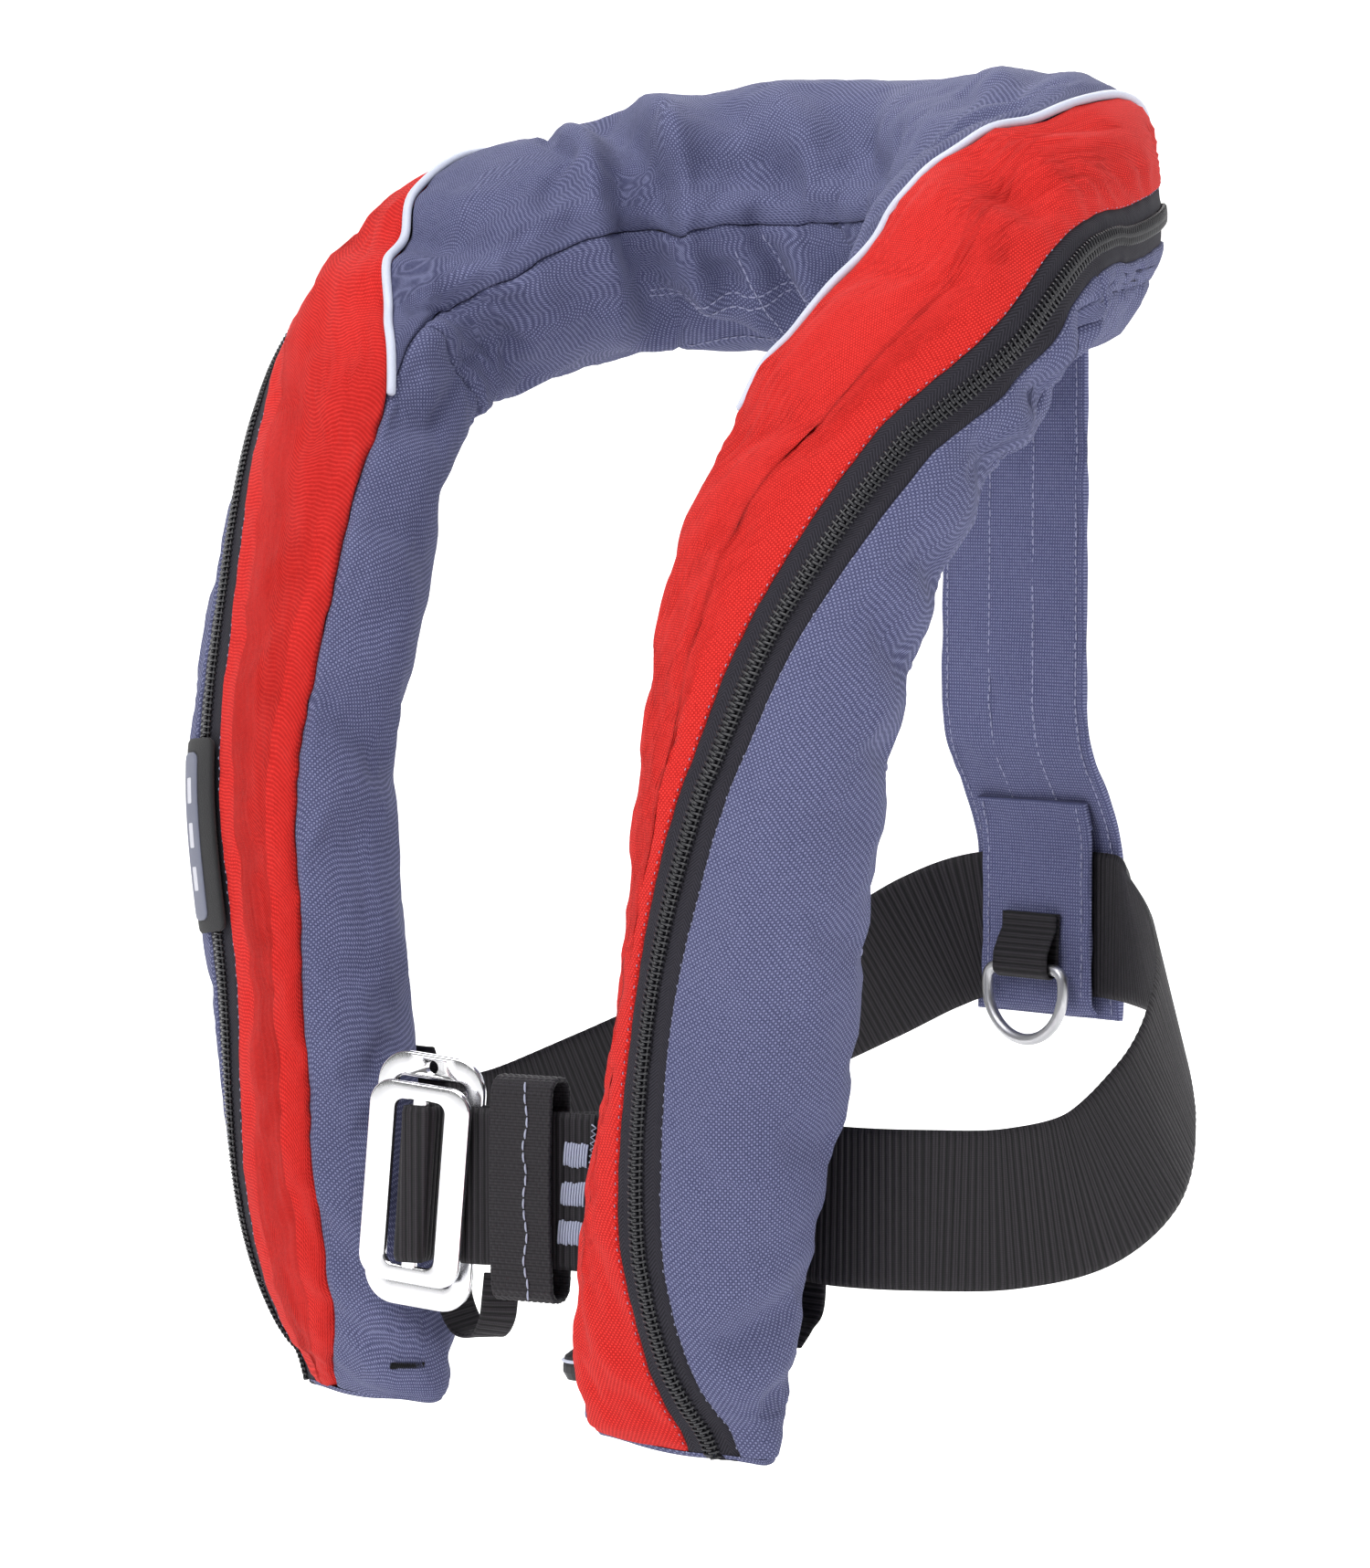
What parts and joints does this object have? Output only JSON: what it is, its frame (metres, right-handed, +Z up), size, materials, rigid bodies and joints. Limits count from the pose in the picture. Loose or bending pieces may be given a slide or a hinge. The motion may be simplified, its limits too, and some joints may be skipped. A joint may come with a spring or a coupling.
{
  "type": "inflatable life jacket",
  "caption": "Horseshoe inflatable life jacket with a zipped two-tone cover, bladder and gas set inside, back strap with harness ring, and a webbing waist belt closed by a steel slot buckle.",
  "frame": {"origin": "lowest point of the collar's tube at the centre of the wearer's back, where it hangs on the neck", "axes": "+Z up, +Y towards the wearer's back, +X towards the wearer's left; the wearer faces -Y"},
  "size_m": [0.3349, 0.2917, 0.4309],
  "materials": {
    "red_fabric": "matt plain-weave polyester",
    "slate_fabric": "matt basket-weave polyester",
    "zip_tape": "herringbone woven tape",
    "zip_coil": "satin nylon coil",
    "reflective_piping": "smooth pale reflective cord",
    "black_webbing": "ribbed polyester webbing",
    "label_rubber": "matt moulded",
    "polished_steel": "polished stainless",
    "satin_steel": "satin stainless",
    "cylinder_steel": "zinc plated",
    "bladder_fabric": "coated nylon",
    "black_plastic": "moulded",
    "yellow_plastic": "moulded"
  },
  "bodies": {
    "cover": {"front_panel_left": "red_fabric", "front_panel_right": "red_fabric", "outer_panel_left": "slate_fabric", "outer_panel_right": "slate_fabric", "collar_cover": "slate_fabric", "collar_back_panel": "slate_fabric", "collar_lining": "slate_fabric", "body_panel_left": "slate_fabric", "body_panel_right": "slate_fabric", "hem_left": "slate_fabric", "hem_right": "slate_fabric", "back_strap": "slate_fabric", "belt_tunnel": "slate_fabric", "zip_tape_front": "zip_tape", "zip_tape_rear": "zip_tape", "zip_coil": "zip_coil", "piping_left": "reflective_piping", "piping_right": "reflective_piping", "waist_belt": "black_webbing", "belt_loop_left": "black_webbing", "belt_loop_right": "black_webbing", "ring_webbing": "black_webbing", "leg_strap_loop": "black_webbing", "burst_tab": "black_webbing", "label_patch": "label_rubber", "lanyard_eyelet": "satin_steel", "bladder": "bladder_fabric", "inflator_body": "black_plastic", "oral_tube": "black_plastic", "whistle": "yellow_plastic"},
    "ring": {"harness_ring": "satin_steel"},
    "keeper": {"keeper_loop": "black_webbing"},
    "frame": {"buckle_frame": "polished_steel"},
    "plate": {"buckle_plate": "polished_steel"},
    "slider": {"zip_slider": "satin_steel", "slider_bridge": "satin_steel"},
    "pull_tab": {"slider_pull": "satin_steel"},
    "pull": {"pull_knob": "black_plastic", "pull_lanyard": "black_plastic"},
    "lever": {"firing_lever": "yellow_plastic"},
    "cap": {"inflator_cap": "yellow_plastic"},
    "cylinder": {"gas_cylinder": "cylinder_steel"},
    "mouth_cap": {"oral_tube_cap": "yellow_plastic"}
  },
  "joints": [
    {"name": "ring_swing", "type": "hinge", "parent": "cover", "child": "ring", "pos_m": [0, 0.051, -0.216], "axis": [1, 0, 0], "range_deg": [-110, 4]},
    {"name": "keeper_slide", "type": "slide", "parent": "cover", "child": "keeper", "axis": [0.9511, 0.309, 0], "range_m": [-0.004, 0.008]},
    {"name": "frame_tilt", "type": "hinge", "parent": "cover", "child": "frame", "pos_m": [-0.00672, -0.20554, -0.26841], "axis": [0.0829, 0.0269, 0.9962], "range_deg": [-10, 2.5]},
    {"name": "plate_tilt", "type": "hinge", "parent": "cover", "child": "plate", "pos_m": [-0.01996, -0.21678, -0.267], "axis": [0.0829, 0.0269, 0.9962], "range_deg": [-6, 4]},
    {"name": "zip_slide", "type": "slide", "parent": "cover", "child": "slider", "axis": [1, 0, 0], "range_m": [-0.012, 0.012]},
    {"name": "tab_swing", "type": "hinge", "parent": "slider", "child": "pull_tab", "pos_m": [0, 0.04725, 0.043], "axis": [0, 0, 1], "range_deg": [0, 180]},
    {"name": "pull_slide", "type": "slide", "parent": "cover", "child": "pull", "axis": [-0.9874, 0.1582, 0], "range_m": [0, 0.0125]},
    {"name": "lever_swing", "type": "hinge", "parent": "cover", "child": "lever", "pos_m": [0.07169, -0.20281, -0.27529], "axis": [-0.1286, 0.9917, 0.0038], "range_deg": [0, 27]},
    {"name": "cap_turn", "type": "hinge", "parent": "cover", "child": "cap", "pos_m": [0.08338, -0.20126, -0.28655], "axis": [0.976, 0.1273, -0.1768], "continuous": true},
    {"name": "cylinder_turn", "type": "hinge", "parent": "cover", "child": "cylinder", "pos_m": [0.08607, -0.20096, -0.27149], "axis": [0.1758, 0.0191, 0.9842], "continuous": true},
    {"name": "mouth_cap_slide", "type": "slide", "parent": "cover", "child": "mouth_cap", "axis": [-0.0072, 0.2261, 0.9741], "range_m": [0, 0.01]}
  ],
  "couplings": [
    {"joint": "pull_slide", "follows": "lever_swing", "m_per_rad": 0.025}
  ]
}
